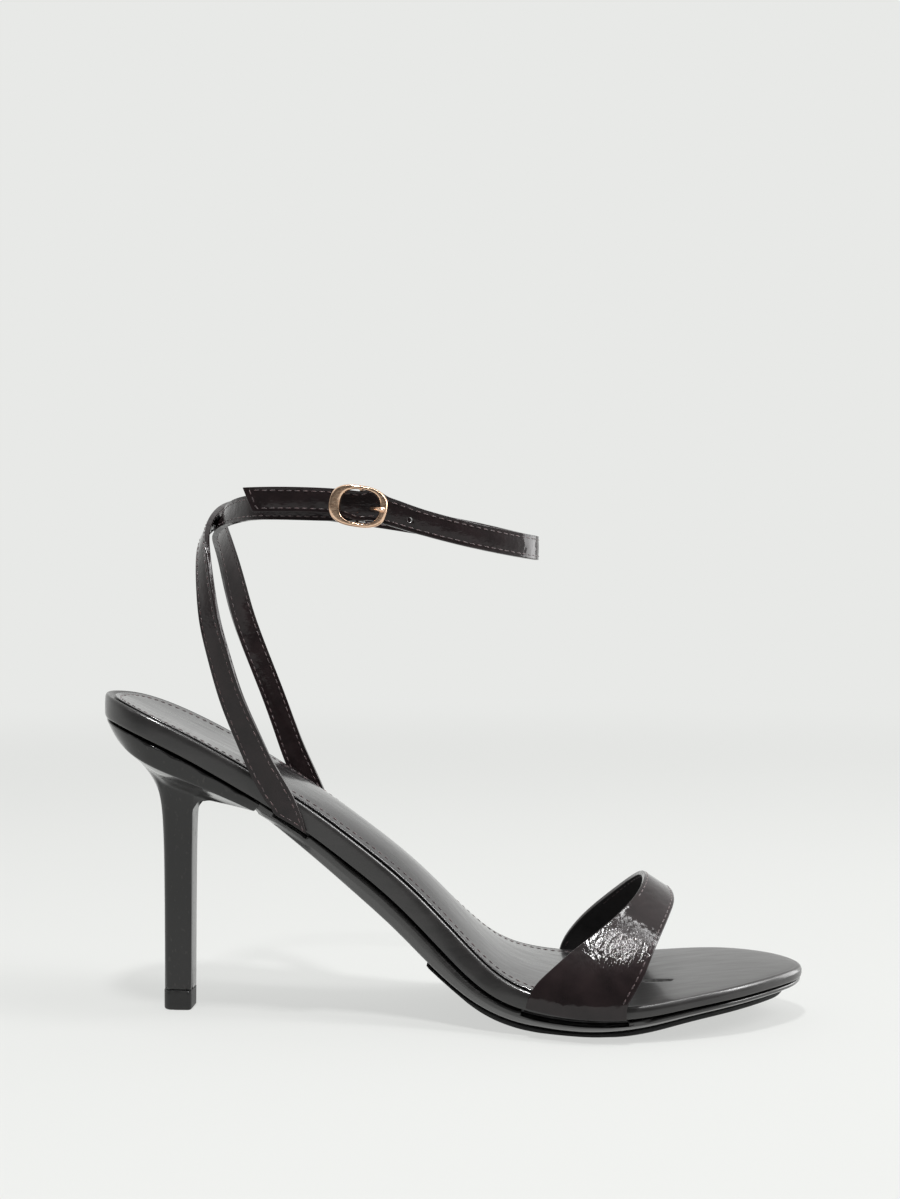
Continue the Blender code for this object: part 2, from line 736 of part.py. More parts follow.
def buckle_point(along, up, out):
    """A point from its places along the strap, up its width and out from the tail's middle."""
    centre, forward, upward, outward = buckle_seat()
    return centre + forward * along + upward * up + outward * out


def chape_rows(across, steps=8):
    """The chape's fold round the bar and its short return."""
    spots = []
    for i in range(steps + 1):
        angle = math.pi * (0.5 - i / steps)
        spots.append((FOLD_RADIUS * math.cos(angle), FOLD_RADIUS * math.sin(angle)))
    for back, depth in CHAPE_RETURN_ROWS:
        spots.append((-back * STRAP_WIDTH, -depth * FOLD_RADIUS))
    rows = []
    for along, out in spots:
        half = CHAPE_SPREAD * STRAP_WIDTH / 2
        ups = spread(-half, half, across)
        points = [buckle_point(along, up, out - BAR_DROP) for up in ups]
        rows.append((points, CHAPE_WALL))
    return rows


def make_ankle_straps(material, across=3):
    """The two back straps, joined where they cross, and the ankle strap with its tail."""
    lateral = foot_rows(LATERAL_FOOT, -1, STRAP_WALL, across)
    lateral += strap_path_rows(LATERAL_ROWS, -1, STRAP_WALL, across)
    straps = strip("ankle_straps", material, lateral)
    medial = foot_rows(MEDIAL_FOOT, 1, CHAPE_WALL, across)
    medial += strap_path_rows(MEDIAL_ROWS, 1, CHAPE_WALL, across)
    medial += chape_rows(across)
    add_boolean(straps, strip("medial_strap_shape", material, medial), "UNION")
    return straps


def round_bar(name, material, start, end, radius, count=12):
    """A straight round bar between two points."""
    shape = bmesh.new()
    axis = end - start
    bmesh.ops.create_cone(
        shape, cap_ends=True, segments=count, radius1=radius, radius2=radius, depth=axis.length)
    turn = axis.to_track_quat("Z", "Y").to_matrix().to_4x4()
    bmesh.ops.transform(shape, matrix=Matrix.Translation((start + end) / 2) @ turn, verts=shape.verts)
    return add_object(name, shape, material)


def oval_point(angle, length, height, power=2.6):
    """A point of the buckle's oval, a little fuller than an ellipse."""
    cosine = math.cos(angle)
    sine = math.sin(angle)
    along = length / 2 * math.copysign(abs(cosine) ** (2 / power), cosine)
    up = height / 2 * math.copysign(abs(sine) ** (2 / power), sine)
    return along, up


FRAME_BACK = STRAP_WALL / 2 + CLEAR
FRAME_FACE = FRAME_BACK + BUCKLE_WALL


def make_buckle_frame(material, count=40):
    """The oval frame with its bar across the back."""
    inner_length = BUCKLE_LENGTH - BUCKLE_REAR - BUCKLE_FRONT
    inner_height = BUCKLE_HEIGHT - 2 * BUCKLE_EDGE
    inner_shift = (BUCKLE_REAR - BUCKLE_FRONT) / 2
    soft = 0.25 * BUCKLE_WALL
    section = (
        (BUCKLE_LENGTH - soft, BUCKLE_HEIGHT - soft, 0.0, FRAME_BACK),
        (BUCKLE_LENGTH, BUCKLE_HEIGHT, 0.0, FRAME_BACK + soft),
        (BUCKLE_LENGTH, BUCKLE_HEIGHT, 0.0, FRAME_FACE - 1.5 * soft),
        (BUCKLE_LENGTH - 2 * soft, BUCKLE_HEIGHT - 2 * soft, 0.0, FRAME_FACE),
        (inner_length + soft, inner_height + soft, inner_shift, FRAME_FACE),
        (inner_length, inner_height, inner_shift, FRAME_FACE - soft),
        (inner_length, inner_height, inner_shift, FRAME_BACK + soft),
        (inner_length + soft, inner_height + soft, inner_shift, FRAME_BACK),
    )
    shape = bmesh.new()
    rings = []
    for length, height, shift, out in section:
        ring = []
        for i in range(count):
            along, up = oval_point(2 * math.pi * i / count, length, height)
            ring.append(shape.verts.new(buckle_point(along + shift, up, out)))
        rings.append(ring)
    for low, high in zip(rings, rings[1:] + rings[:1]):
        bridge(shape, low, high)
    frame = add_object("buckle_frame", shape, material)
    reach = BUCKLE_HEIGHT / 2 - 0.75 * BUCKLE_EDGE
    low = buckle_point(0, -reach, -BAR_DROP)
    high = buckle_point(0, reach, -BAR_DROP)
    add_boolean(frame, round_bar("bar_shape", material, low, high, BAR_RADIUS), "UNION")
    for name, up in (("lower_post_shape", -reach), ("upper_post_shape", reach)):
        foot = buckle_point(0, up, -BAR_DROP - BAR_RADIUS)
        head = buckle_point(0, up, FRAME_BACK + BUCKLE_WALL / 2)
        add_boolean(frame, round_bar(name, material, foot, head, 1.15 * BAR_RADIUS), "UNION")
    return frame


def prong_spots():
    """The prong's middle line: a loop round the bar, up through the tail and onto the frame."""
    loop = BAR_RADIUS + CLEAR + PRONG_LOOP_RADIUS
    spots = []
    for i in range(11):
        angle = math.radians(25 - 26 * i)
        spots.append((loop * math.cos(angle), loop * math.sin(angle) - BAR_DROP, PRONG_LOOP_RADIUS))
    rest = FRAME_FACE + CLEAR + PRONG_RADIUS
    seat = BUCKLE_LENGTH / 2 - BUCKLE_FRONT / 2
    spots += [
        (0.27 * seat, -BAR_DROP + 1.35 * loop, 1.1 * PRONG_LOOP_RADIUS),
        (0.45 * seat, -0.12 * STRAP_WALL, 0.9 * PRONG_RADIUS),
        (0.62 * seat, 0.42 * rest, PRONG_RADIUS),
        (0.78 * seat, 0.86 * rest, PRONG_RADIUS),
        (0.90 * seat, rest, PRONG_RADIUS),
        (1.06 * seat, rest, 0.9 * PRONG_RADIUS),
    ]
    return spots


def make_buckle_prong(material):
    """The prong as one bent wire."""
    curve = bpy.data.curves.new("buckle_prong", "CURVE")
    curve.dimensions = "3D"
    curve.bevel_depth = 1.0
    curve.bevel_resolution = 2
    curve.use_fill_caps = True
    line = curve.splines.new("POLY")
    spots = prong_spots()
    line.points.add(len(spots) - 1)
    for point, (along, out, radius) in zip(line.points, spots):
        point.co = (*buckle_point(along, 0.0, out), 1.0)
        point.radius = radius
    curve.materials.append(material)
    item = bpy.data.objects.new("buckle_prong", curve)
    bpy.context.scene.collection.objects.link(item)
    return item


def box_shape(name, material, size, centre):
    """A box set square to the buckle."""
    shape = bmesh.new()
    bmesh.ops.create_cube(shape, size=1.0)
    middle, forward, upward, outward = buckle_seat()
    frame = Matrix((forward, upward, outward)).transposed().to_4x4()
    place = Matrix.Translation(buckle_point(*centre)) @ frame @ Matrix.Diagonal((*size, 1.0))
    bmesh.ops.transform(shape, matrix=place, verts=shape.verts)
    return add_object(name, shape, material)


def cut_prong_openings(straps, material):
    """Cut the prong's hole in the tail and its slot in the chape's fold."""
    width = 2 * (PRONG_RADIUS + CLEAR)
    seat = BUCKLE_LENGTH / 2 - BUCKLE_FRONT / 2
    hole = box_shape(
        "prong_hole_shape", material,
        (0.46 * seat, width, 1.25 * STRAP_WALL), (0.52 * seat, 0.0, 0.0))
    slot_back = -FOLD_RADIUS - CHAPE_WALL
    slot_front = FOLD_RADIUS + CHAPE_WALL
    slot = box_shape(
        "prong_slot_shape", material,
        (slot_front - slot_back, width, 2 * FOLD_RADIUS + 1.2 * CHAPE_WALL),
        ((slot_front + slot_back) / 2, 0.0, -BAR_DROP))
    add_boolean(straps, hole, "DIFFERENCE")
    add_boolean(straps, slot, "DIFFERENCE")


def pocket_rows(xs, side):
    """A strap's end made thicker all round, to cut the pocket that it lies in."""
    wall = SKIVED_WALL + 2 * POCKET_CLEAR
    gap = CLEAR + SKIVED_WALL / 2
    rows = []
    for out in (-TUCK - 2 * POCKET_CLEAR, -0.5 * TUCK, 0.0, POCKET_OUT):
        points = [on_sole(x, side * (half_width(x) + out), -gap - band_depth(x)) for x in xs]
        rows.append((points, wall))
    return rows


def cut_strap_pockets(outsole, material):
    """Cut the outsole's top where each strap's end is tucked in."""
    feet = (
        ("toe_pocket_outer", -1, toe_strap_edges(0.0)),
        ("toe_pocket_inner", 1, toe_strap_edges(1.0)),
        ("back_pocket_outer", -1, foot_span(LATERAL_FOOT)),
        ("back_pocket_inner", 1, foot_span(MEDIAL_FOOT)),
    )
    for name, side, (back, front) in feet:
        xs = spread(back - POCKET_MARGIN, front + POCKET_MARGIN, 6)
        add_boolean(outsole, strip(name, material, pocket_rows(xs, side)), "DIFFERENCE")


def build():
    clear_scene()
    patent = finish("patent strap leather", (0.024, 0.018, 0.019), 0.18, coat=0.6)
    band = finish("wrapped footbed leather", (0.036, 0.034, 0.034), 0.32)
    sock = finish("sock leather", (0.030, 0.029, 0.030), 0.16, coat=0.5)
    tread = finish("outsole edge", (0.030, 0.029, 0.029), 0.40)
    rubber = finish("half sole rubber", (0.022, 0.022, 0.022), 0.70)
    cover = finish("heel cover leather", (0.030, 0.029, 0.030), 0.24)
    tip = finish("tip plastic", (0.020, 0.020, 0.020), 0.45)
    metal = finish("rose gold plate", (0.80, 0.48, 0.30), 0.16, metallic=1.0)
    make_footbed(band)
    make_insole(sock)
    outsole = make_outsole(tread)
    cut_strap_pockets(outsole, tread)
    make_half_sole(rubber)
    make_heel(cover)
    make_heel_tip(tip)
    make_toe_strap(patent)
    straps = make_ankle_straps(patent)
    cut_prong_openings(straps, patent)
    make_buckle_frame(metal)
    make_buckle_prong(metal)


build()
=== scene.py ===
"""A heeled sandal for the right foot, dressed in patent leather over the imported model."""

import math

import bmesh
import bpy
from mathutils import Matrix, Vector


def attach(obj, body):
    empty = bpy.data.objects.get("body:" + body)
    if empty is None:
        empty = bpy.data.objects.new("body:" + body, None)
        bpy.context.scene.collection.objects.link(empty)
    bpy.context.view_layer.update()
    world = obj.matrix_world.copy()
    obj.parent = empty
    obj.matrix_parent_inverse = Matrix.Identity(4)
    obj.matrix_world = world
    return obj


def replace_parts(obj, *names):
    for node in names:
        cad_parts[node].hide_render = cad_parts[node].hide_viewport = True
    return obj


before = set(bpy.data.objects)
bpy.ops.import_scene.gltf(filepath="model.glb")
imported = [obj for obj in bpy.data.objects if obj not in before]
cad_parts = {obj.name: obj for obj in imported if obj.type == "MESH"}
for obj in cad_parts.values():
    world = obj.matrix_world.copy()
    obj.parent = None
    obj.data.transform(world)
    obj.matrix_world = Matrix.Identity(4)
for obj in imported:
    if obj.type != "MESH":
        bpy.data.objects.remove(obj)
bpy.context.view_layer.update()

MM = 0.001

# Leather and thread
STRAP_WALL = 1.8 * MM
CHAPE_WALL = 1.6 * MM
EDGE_ROUND = 0.32 * MM
STITCH_INSET = 1.1 * MM
STITCH_PITCH = 2.5 * MM
STITCH_LENGTH = 1.9 * MM
THREAD = 0.17 * MM
STITCH_SINK = 0.16 * MM
SOCK_STITCH_INSET = 2.2 * MM

# Spots on the pieces' faces where a sheet is picked up
SOCK_TOP = (40 * MM, 0.0, 72 * MM)
TOE_STRAP_CREST = (152 * MM, 2.5 * MM, 43 * MM)
OUTER_STRAP_FACE = (30.6 * MM, -25 * MM, 79.5 * MM)
INNER_STRAP_FACE = (33 * MM, 23.4 * MM, 79.5 * MM)

# How sharp a turn is, in degrees, to stay crisp or to end a smooth run of faces
SOLE_CORNER = 28
HEEL_CORNER = 32
HEEL_RIDGE = 24
BUCKLE_CORNER = 50
STRAP_TURN = 50
SOCK_TURN = 20

# Heights that part the heel's flare from its shaft and the strap feet from the rest
FLARE_FOOT = 60 * MM
FOOT_TOP = 80 * MM

# How far up or down a strap's face looks where it is tucked into the sole
TUCKED_IN = 0.4

# How far forward the sock is sewn, and how high the toe strap's stitches start
SOCK_SEWN_END = 128 * MM
TOE_SEWN_FROM = 12 * MM

# The slanted line that parts the toe strap's edges: where it starts, along and up, and its rise
TOE_LINE_START = (120 * MM, 8 * MM)
TOE_LINE_RISE = (25 * MM, 30 * MM)

# Camera, as the photograph was taken
CAMERA_SPOT = (0.1118, -0.4793, 0.1287)
CAMERA_TURN = (90, 0, 3)
CAMERA_LENS = 45.4
CAMERA_SHIFT = 0.0046

# The pale wall behind the sandal
BACKDROP = "#E8E9E7"

# The middle of the toe strap, across the foot
TOE_MIDDLE = 2.5 * MM

# The middle of the crinkles on the toe strap
CRINKLE_SPOT = (138.5 * MM, -30.0 * MM, 27.0 * MM)

# Creases, listed: start, end, depth, width (mm) and the way the face looks
FLANK = (0.0, -0.75, 0.66)
TOE_STRAP_CREASES = (
    ((131.0, -30.5, 25.0), (134.5, -27.0, 30.5), 0.16, 0.8, FLANK),
    ((133.5, -30.5, 25.5), (137.5, -26.5, 31.5), 0.13, 0.7, FLANK),
    ((136.0, -31.5, 24.0), (139.0, -28.5, 29.0), 0.15, 0.8, FLANK),
    ((138.0, -33.0, 22.0), (141.0, -30.0, 27.5), 0.12, 0.9, FLANK),
    ((141.5, -33.5, 22.0), (143.5, -30.5, 27.5), -0.12, 0.8, FLANK),
    ((144.0, -32.5, 24.5), (146.0, -29.5, 29.0), 0.14, 0.8, FLANK),
    ((144.5, -18.5, 37.5), (148.5, -14.5, 39.5), 0.12, 0.9, (0.2, -0.4, 0.9)),
    ((126.0, -36.5, 14.0), (138.0, -38.0, 13.5), 0.14, 1.6, (0.0, -0.9, 0.3)),
)
FOOTBED_SLIT = (((144.0, -6.2, 12.0), (155.0, -10.6, 13.3), 1.4, 1.0, (0, 0, 1)),)
SLIT_REGION = ((140 * MM, 160 * MM), (-18 * MM, 0.0))

# Lights: name, spot, aim, width, height and power, in metres and watts
LIGHTS = (
    ("right_box", (1.0, -0.22, 0.95), (0.12, 0, 0.05), 0.30, 0.45, 5),
    ("side_box", (1.25, 0.5, 0.35), (0.08, 0, 0.12), 0.7, 0.7, 7),
    ("rim_strip", (0.62, -0.12, 1.1), (0.08, 0, 0.05), 0.08, 1.0, 5),
    ("crest_box", (0.05, -0.37, 1.08), (0.14, -0.03, 0.03), 0.10, 0.13, 11),
    ("left_box", (-0.75, -0.55, 0.8), (0.05, 0, 0.08), 0.20, 0.5, 0.6),
)
SUN_POWER = 1.0
SUN_ANGLE = 24
SUN_AIM = (-1.0, 0.12, -0.8)

# Where the outsole ends at the heel
BREAST_END = 40 * MM
OUTSOLE_LET_IN = (-3.2 * MM, 0, 2.3 * MM)

# Where the strap is pulled out to fill the buckle's window
WINDOW_FILL = (
    ((65.5 * MM, -34.0 * MM, 160.8 * MM), (0, 0, 1.5 * MM)),
    ((60.5 * MM, -34.0 * MM, 153.6 * MM), (0, 0, -1.0 * MM)),
)

# The ankle strap's free hole
PUNCH_SPOT = (76.4 * MM, -31.4 * MM, 154.0 * MM)
PUNCH_FACING = (0.26, -0.965, -0.04)
PUNCH_RADIUS = 0.75 * MM


# Editing tools

def edit(piece):
    """Open one piece in edit mode with nothing selected."""
    bpy.ops.object.select_all(action="DESELECT")
    piece.hide_set(False)
    piece.select_set(True)
    bpy.context.view_layer.objects.active = piece
    bpy.ops.object.mode_set(mode="EDIT")
    bpy.ops.mesh.select_mode(type="FACE")
    bpy.ops.mesh.select_all(action="DESELECT")


def close_edit():
    bpy.ops.object.mode_set(mode="OBJECT")


def pick_faces(piece, test):
    """Select the faces that a test accepts."""
    shape = bmesh.from_edit_mesh(piece.data)
    for face in shape.faces:
        face.select_set(bool(test(face)))
    bmesh.update_edit_mesh(piece.data)


def crease_edges(piece, test, amount=1.0):
    """Keep the edges that a test accepts crisp under subdivision."""
    shape = bmesh.from_edit_mesh(piece.data)
    layer = shape.edges.layers.float.get("crease_edge") or shape.edges.layers.float.new("crease_edge")
    for edge in shape.edges:
        if test(edge):
            edge[layer] = amount
    bmesh.update_edit_mesh(piece.data)


def edge_turn(edge):
    """The angle between an edge's two faces, in degrees."""
    if len(edge.link_faces) != 2:
        return 0.0
    return math.degrees(edge.calc_face_angle(0.0))


def middle_of(edge):
    return (edge.verts[0].co + edge.verts[1].co) / 2


def apply_step(piece, kind, **settings):
    """Add one modifier and apply it."""
    step = piece.modifiers.new(kind.lower(), kind)
    for name, value in settings.items():
        setattr(step, name, value)
    bpy.context.view_layer.objects.active = piece
    bpy.ops.object.modifier_apply(modifier=step.name)


def smooth_out(piece, levels):
    """Subdivide a piece and shade it smooth."""
    apply_step(piece, "SUBSURF", levels=levels, render_levels=levels)
    piece.data.shade_smooth()


def copy_of(node, name):
    """A copy of a CAD node with its corners merged and its faces made four-sided."""
    piece = bpy.data.objects.new(name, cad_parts[node].data.copy())
    bpy.context.scene.collection.objects.link(piece)
    piece.data.materials.clear()
    edit(piece)
    bpy.ops.mesh.select_all(action="SELECT")
    bpy.ops.mesh.customdata_custom_splitnormals_clear()
    bpy.ops.mesh.remove_doubles(threshold=0.005 * MM)
    bpy.ops.mesh.tris_convert_to_quads(
        face_threshold=math.radians(30), shape_threshold=math.radians(60))
    close_edit()
    return piece


def pick_flat(piece, spot, facing, limit):
    """Select the face nearest a spot and all that run on from it without a sharp turn."""
    shape = bmesh.from_edit_mesh(piece.data)
    place = Vector(spot)
    looking = [face for face in shape.faces if face.normal.dot(Vector(facing)) > 0.7]
    seed = min(looking, key=lambda face: (face.calc_center_median() - place).length)
    for face in shape.faces:
        face.select_set(face == seed)
    shape.faces.active = seed
    bmesh.update_edit_mesh(piece.data)
    bpy.ops.mesh.faces_select_linked_flat(sharpness=math.radians(limit))


def sheet_of(node, name, spot, facing):
    """One face of a strap as an open sheet, found from the face nearest a spot."""
    piece = copy_of(node, name)
    edit(piece)
    pick_flat(piece, spot, facing, STRAP_TURN)
    bpy.ops.mesh.select_all(action="INVERT")
    bpy.ops.mesh.delete(type="FACE")
    close_edit()
    return piece


def trim(piece, test):
    """Delete the faces that a test accepts."""
    edit(piece)
    pick_faces(piece, test)
    bpy.ops.mesh.delete(type="FACE")
    close_edit()


def sew_channel(piece, inset, sink, wall=0.0, top=None, reopen=False):
    """Mark the stitch line along a sheet's border, give the sheet its wall and press the line in.

    Small openings are closed meanwhile, so the line follows the outer border alone.
    """
    edit(piece)
    bpy.ops.mesh.select_all(action="SELECT")
    if wall:
        bpy.ops.mesh.fill_holes(sides=40)
    if top:
        pick_flat(piece, top, (0, 0, 1), SOCK_TURN)
    else:
        bpy.ops.mesh.select_all(action="SELECT")
    bpy.ops.mesh.inset(thickness=inset, depth=0, use_boundary=True, use_even_offset=False)
    shape = bmesh.from_edit_mesh(piece.data)
    for edge in shape.edges:
        picked = sum(face.select for face in edge.link_faces)
        edge.seam = picked == 1 and len(edge.link_faces) == 2
    bmesh.update_edit_mesh(piece.data)
    if reopen:
        pick_faces(piece, lambda face: len(face.verts) > 6)
        bpy.ops.mesh.delete(type="FACE")
    close_edit()
    if wall:
        apply_step(piece, "SOLIDIFY", thickness=wall, offset=-1)
    edit(piece)
    shape = bmesh.from_edit_mesh(piece.data)
    shape.normal_update()
    for vert in {v for edge in shape.edges if edge.seam for v in edge.verts}:
        vert.co -= vert.normal * sink
    bmesh.update_edit_mesh(piece.data)
    close_edit()


def seam_runs(piece, accept):
    """The sewn line of a finished piece as ordered runs of (point, normal)."""
    mesh = piece.data
    ways = {}
    for edge in mesh.edges:
        if edge.use_seam:
            a, b = edge.vertices
            middle = (mesh.vertices[a].co + mesh.vertices[b].co) / 2
            if accept(middle, mesh.vertices[a].normal):
                ways.setdefault(a, []).append(b)
                ways.setdefault(b, []).append(a)
    runs = []
    left = set(ways)
    while left:
        start = next((v for v in sorted(left) if len(ways[v]) == 1), min(left))
        run = [start]
        left.discard(start)
        while True:
            onward = [v for v in ways[run[-1]] if v in left]
            if not onward:
                break
            run.append(onward[0])
            left.discard(onward[0])
        if len(run) > 2:
            closed = run[0] in ways[run[-1]]
            runs.append([(mesh.vertices[v].co.copy(), mesh.vertices[v].normal.copy())
                         for v in run + run[:1] * closed])
    return runs


def even_spots(run, pitch):
    """Points a pitch apart along a run, each with its direction and normal."""
    spots = []
    travelled = 0.0
    due = pitch / 2
    for (a, a_normal), (b, b_normal) in zip(run, run[1:]):
        step = (b - a).length
        while step > 0 and due <= travelled + step:
            share = (due - travelled) / step
            spots.append((a.lerp(b, share), (b - a).normalized(), a_normal.lerp(b_normal, share)))
            due += pitch
        travelled += step
    return spots


def model_stitch():
    """One stitch: a short round thread whose ends dip into the leather."""
    bpy.ops.object.select_all(action="DESELECT")
    bpy.ops.mesh.primitive_cylinder_add(
        vertices=6, radius=THREAD, depth=STITCH_LENGTH, end_fill_type="NGON",
        rotation=(0, math.pi / 2, 0))
    stitch = bpy.context.object
    bpy.ops.object.transform_apply(location=True, rotation=True, scale=True)
    edit(stitch)
    for place in (-0.32, -0.12, 0.12, 0.32):
        bpy.ops.mesh.select_all(action="SELECT")
        bpy.ops.mesh.bisect(plane_co=(place * STITCH_LENGTH, 0, 0), plane_no=(1, 0, 0))
    shape = bmesh.from_edit_mesh(stitch.data)
    for vert in shape.verts:
        share = abs(vert.co.x) / (STITCH_LENGTH / 2)
        vert.co.y *= 1 - 0.45 * share ** 3
        vert.co.z = vert.co.z * (1 - 0.45 * share ** 3) - 0.9 * THREAD * share ** 2
    bmesh.update_edit_mesh(stitch.data)
    close_edit()
    return stitch


def sew(name, runs, lift):
    """Lay copies of the stitch along runs and join them into one piece."""
    model = model_stitch()
    corners = [v.co.copy() for v in model.data.vertices]
    sides = [tuple(p.vertices) for p in model.data.polygons]
    points = []
    faces = []
    for run in runs:
        for spot, along, normal in even_spots(run, STITCH_PITCH):
            across = normal.cross(along).normalized()
            up = along.cross(across)
            turn = Matrix((along, across, up)).transposed()
            first = len(points)
            points += [spot + up * lift + turn @ corner for corner in corners]
            faces += [tuple(first + i for i in side) for side in sides]
    bpy.data.objects.remove(model, do_unlink=True)
    mesh = bpy.data.meshes.new(name)
    mesh.from_pydata(points, [], faces)
    piece = bpy.data.objects.new(name, mesh)
    bpy.context.scene.collection.objects.link(piece)
    piece.data.shade_smooth()
    return piece


def punch(piece, spot, facing, radius, reach):
    """Punch a round hole through a wall with a straight pin."""
    bpy.ops.object.select_all(action="DESELECT")
    turn = Vector(facing).to_track_quat("Z", "Y").to_euler()
    bpy.ops.mesh.primitive_cylinder_add(
        vertices=24, radius=radius, depth=2 * reach, location=spot, rotation=turn)
    pin = bpy.context.object
    apply_step(piece, "BOOLEAN", object=pin, operation="DIFFERENCE", solver="EXACT")
    bpy.data.objects.remove(pin, do_unlink=True)


def ease(piece, spot, push, reach):
    """Pull the leather nearest a spot a little way, with a soft falloff round it."""
    edit(piece)
    bpy.ops.mesh.select_mode(type="VERT")
    bpy.ops.mesh.select_all(action="DESELECT")
    shape = bmesh.from_edit_mesh(piece.data)
    place = Vector(spot)
    nearest = min(shape.verts, key=lambda vert: (vert.co - place).length)
    nearest.select_set(True)
    bmesh.update_edit_mesh(piece.data)
    bpy.ops.transform.translate(
        value=push, use_proportional_edit=True, use_proportional_connected=True,
        proportional_edit_falloff="SMOOTH", proportional_size=reach)
    close_edit()


def press(piece, rows):
    """Press soft troughs, or raise ridges, along short lines given in millimetres."""
    mesh = piece.data
    for start, end, depth, width, facing in rows:
        a = Vector(start) * MM
        b = Vector(end) * MM
        line = b - a
        look = Vector(facing)
        for vert in mesh.vertices:
            share = min(max((vert.co - a).dot(line) / line.length_squared, 0.0), 1.0)
            away = (vert.co - a - line * share).length / (width * MM)
            if away < 2.5 and vert.normal.dot(look) > 0.2:
                fade = math.sin(math.pi * min(max(share, 0.06), 0.94)) ** 0.5
                vert.co -= vert.normal * depth * MM * fade * math.exp(-2 * away * away)
    mesh.update()


# Finishes

def linear(hex_colour):
    """Turn an sRGB hex colour into linear values."""
    parts = [int(hex_colour[i:i + 2], 16) / 255 for i in (1, 3, 5)]
    return (*[p / 12.92 if p <= 0.04045 else ((p + 0.055) / 1.055) ** 2.4 for p in parts], 1.0)


def add_node(tree, kind, inputs=(), **settings):
    """Add a node with its settings, and fill its inputs with values or links."""
    node = tree.nodes.new(kind)
    for name, value in settings.items():
        setattr(node, name, value)
    for name, value in dict(inputs).items():
        open_sockets = [socket for socket in node.inputs if socket.enabled]
        socket = next((s for s in open_sockets if s.name == name), None) or node.inputs[name]
        if isinstance(value, bpy.types.NodeSocket):
            tree.links.new(value, socket)
        else:
            socket.default_value = value
    return node


def new_finish(name, **sockets):
    """A Principled finish with its plain sockets set; returns it with its tree and shader."""
    finish = bpy.data.materials.new(name)
    finish.use_nodes = True
    tree = finish.node_tree
    shader = tree.nodes["Principled BSDF"]
    for socket, value in sockets.items():
        shader.inputs[socket.replace("_", " ")].default_value = value
    return finish, tree, shader


def patterned(tree, place, size, detail=3.0, stretch=(1, 1, 1)):
    """Noise whose cells are a given number of millimetres across."""
    stretched = add_node(tree, "ShaderNodeMapping", {"Vector": place, "Scale": stretch})
    return add_node(tree, "ShaderNodeTexNoise", {
        "Vector": stretched.outputs[0], "Scale": 1 / (size * MM), "Detail": detail})


def spread_over(tree, value, low, high):
    """Bring a noise value into a range."""
    return add_node(tree, "ShaderNodeMapRange", {
        "Value": value, "From Min": 0.3, "From Max": 0.7, "To Min": low, "To Max": high}).outputs[0]


def raised(tree, height, distance, below=None):
    """A bump of a given height in millimetres, laid over another one."""
    inputs = {"Height": height, "Distance": distance * MM, "Strength": 1.0}
    if below is not None:
        inputs["Normal"] = below
    return add_node(tree, "ShaderNodeBump", inputs).outputs[0]


def two_tone(tree, factor, dark, light):
    return add_node(tree, "ShaderNodeMix", {
        "Factor": factor, "A": linear(dark), "B": linear(light)}, data_type="RGBA").outputs[2]


def patent_leather():
    """Crinkled patent leather: a thick clear lacquer gives sharp glints on soft creases."""
    finish, tree, shader = new_finish(
        "crinkled patent leather", Roughness=0.45, IOR=1.5, Specular_IOR_Level=0.05,
        Coat_Weight=1.0, Coat_Roughness=0.05, Coat_IOR=1.38)
    place = add_node(tree, "ShaderNodeTexCoord").outputs["Object"]
    # waves of the lacquer 5 mm across, creases 1.3 mm across and pores 0.35 mm across
    waves = patterned(tree, place, 5.0, 2.0, (1.0, 1.6, 1.0))
    creases = patterned(tree, place, 1.3, 3.0, (1.0, 0.7, 2.2))
    pores = patterned(tree, place, 0.35, 2.0)
    normal = raised(tree, waves.outputs["Fac"], 0.22)
    normal = raised(tree, creases.outputs["Fac"], 0.035, normal)
    normal = raised(tree, pores.outputs["Fac"], 0.005, normal)
    tree.links.new(normal, shader.inputs["Normal"])
    tree.links.new(normal, shader.inputs["Coat Normal"])
    colour = two_tone(tree, spread_over(tree, waves.outputs["Fac"], 0.0, 1.0), "#150F10", "#201819")
    tree.links.new(colour, shader.inputs["Base Color"])
    return finish


def toe_patent_leather():
    """The same patent leather pulled over the toes: it crinkles finely and throws broken glints."""
    finish, tree, shader = new_finish(
        "crinkled toe patent leather", Roughness=0.45, IOR=1.5, Specular_IOR_Level=0.05,
        Coat_Weight=1.0, Coat_Roughness=0.05, Coat_IOR=1.42)
    place = add_node(tree, "ShaderNodeTexCoord").outputs["Object"]
    # crinkles 1.1 mm across run up the strap, over swells 7 mm across and pores 0.35 mm across
    swells = patterned(tree, place, 7.0, 2.0)
    crinkles = patterned(tree, place, 1.1, 4.0, (1.3, 0.8, 0.6))
    pores = patterned(tree, place, 0.35, 2.0)
    # the crinkles gather on the outer flank, half way up, and fade towards the sole and the crest
    flank = add_node(tree, "ShaderNodeVectorMath", {0: place, 1: CRINKLE_SPOT}, operation="DISTANCE")
    gathered = add_node(tree, "ShaderNodeMapRange", {
        "Value": flank.outputs["Value"], "From Min": 3 * MM, "From Max": 14 * MM,
        "To Min": 1.0, "To Max": 0.10}, interpolation_type="SMOOTHSTEP").outputs[0]
    height = add_node(tree, "ShaderNodeMath", {0: crinkles.outputs["Fac"], 1: gathered}, operation="MULTIPLY")
    normal = raised(tree, swells.outputs["Fac"], 0.35)
    normal = raised(tree, height.outputs[0], 0.30, normal)
    normal = raised(tree, pores.outputs["Fac"], 0.006, normal)
    tree.links.new(normal, shader.inputs["Normal"])
    tree.links.new(normal, shader.inputs["Coat Normal"])
    colour = two_tone(tree, spread_over(tree, swells.outputs["Fac"], 0.0, 1.0), "#150F10", "#221A1B")
    tree.links.new(colour, shader.inputs["Base Color"])
    return finish


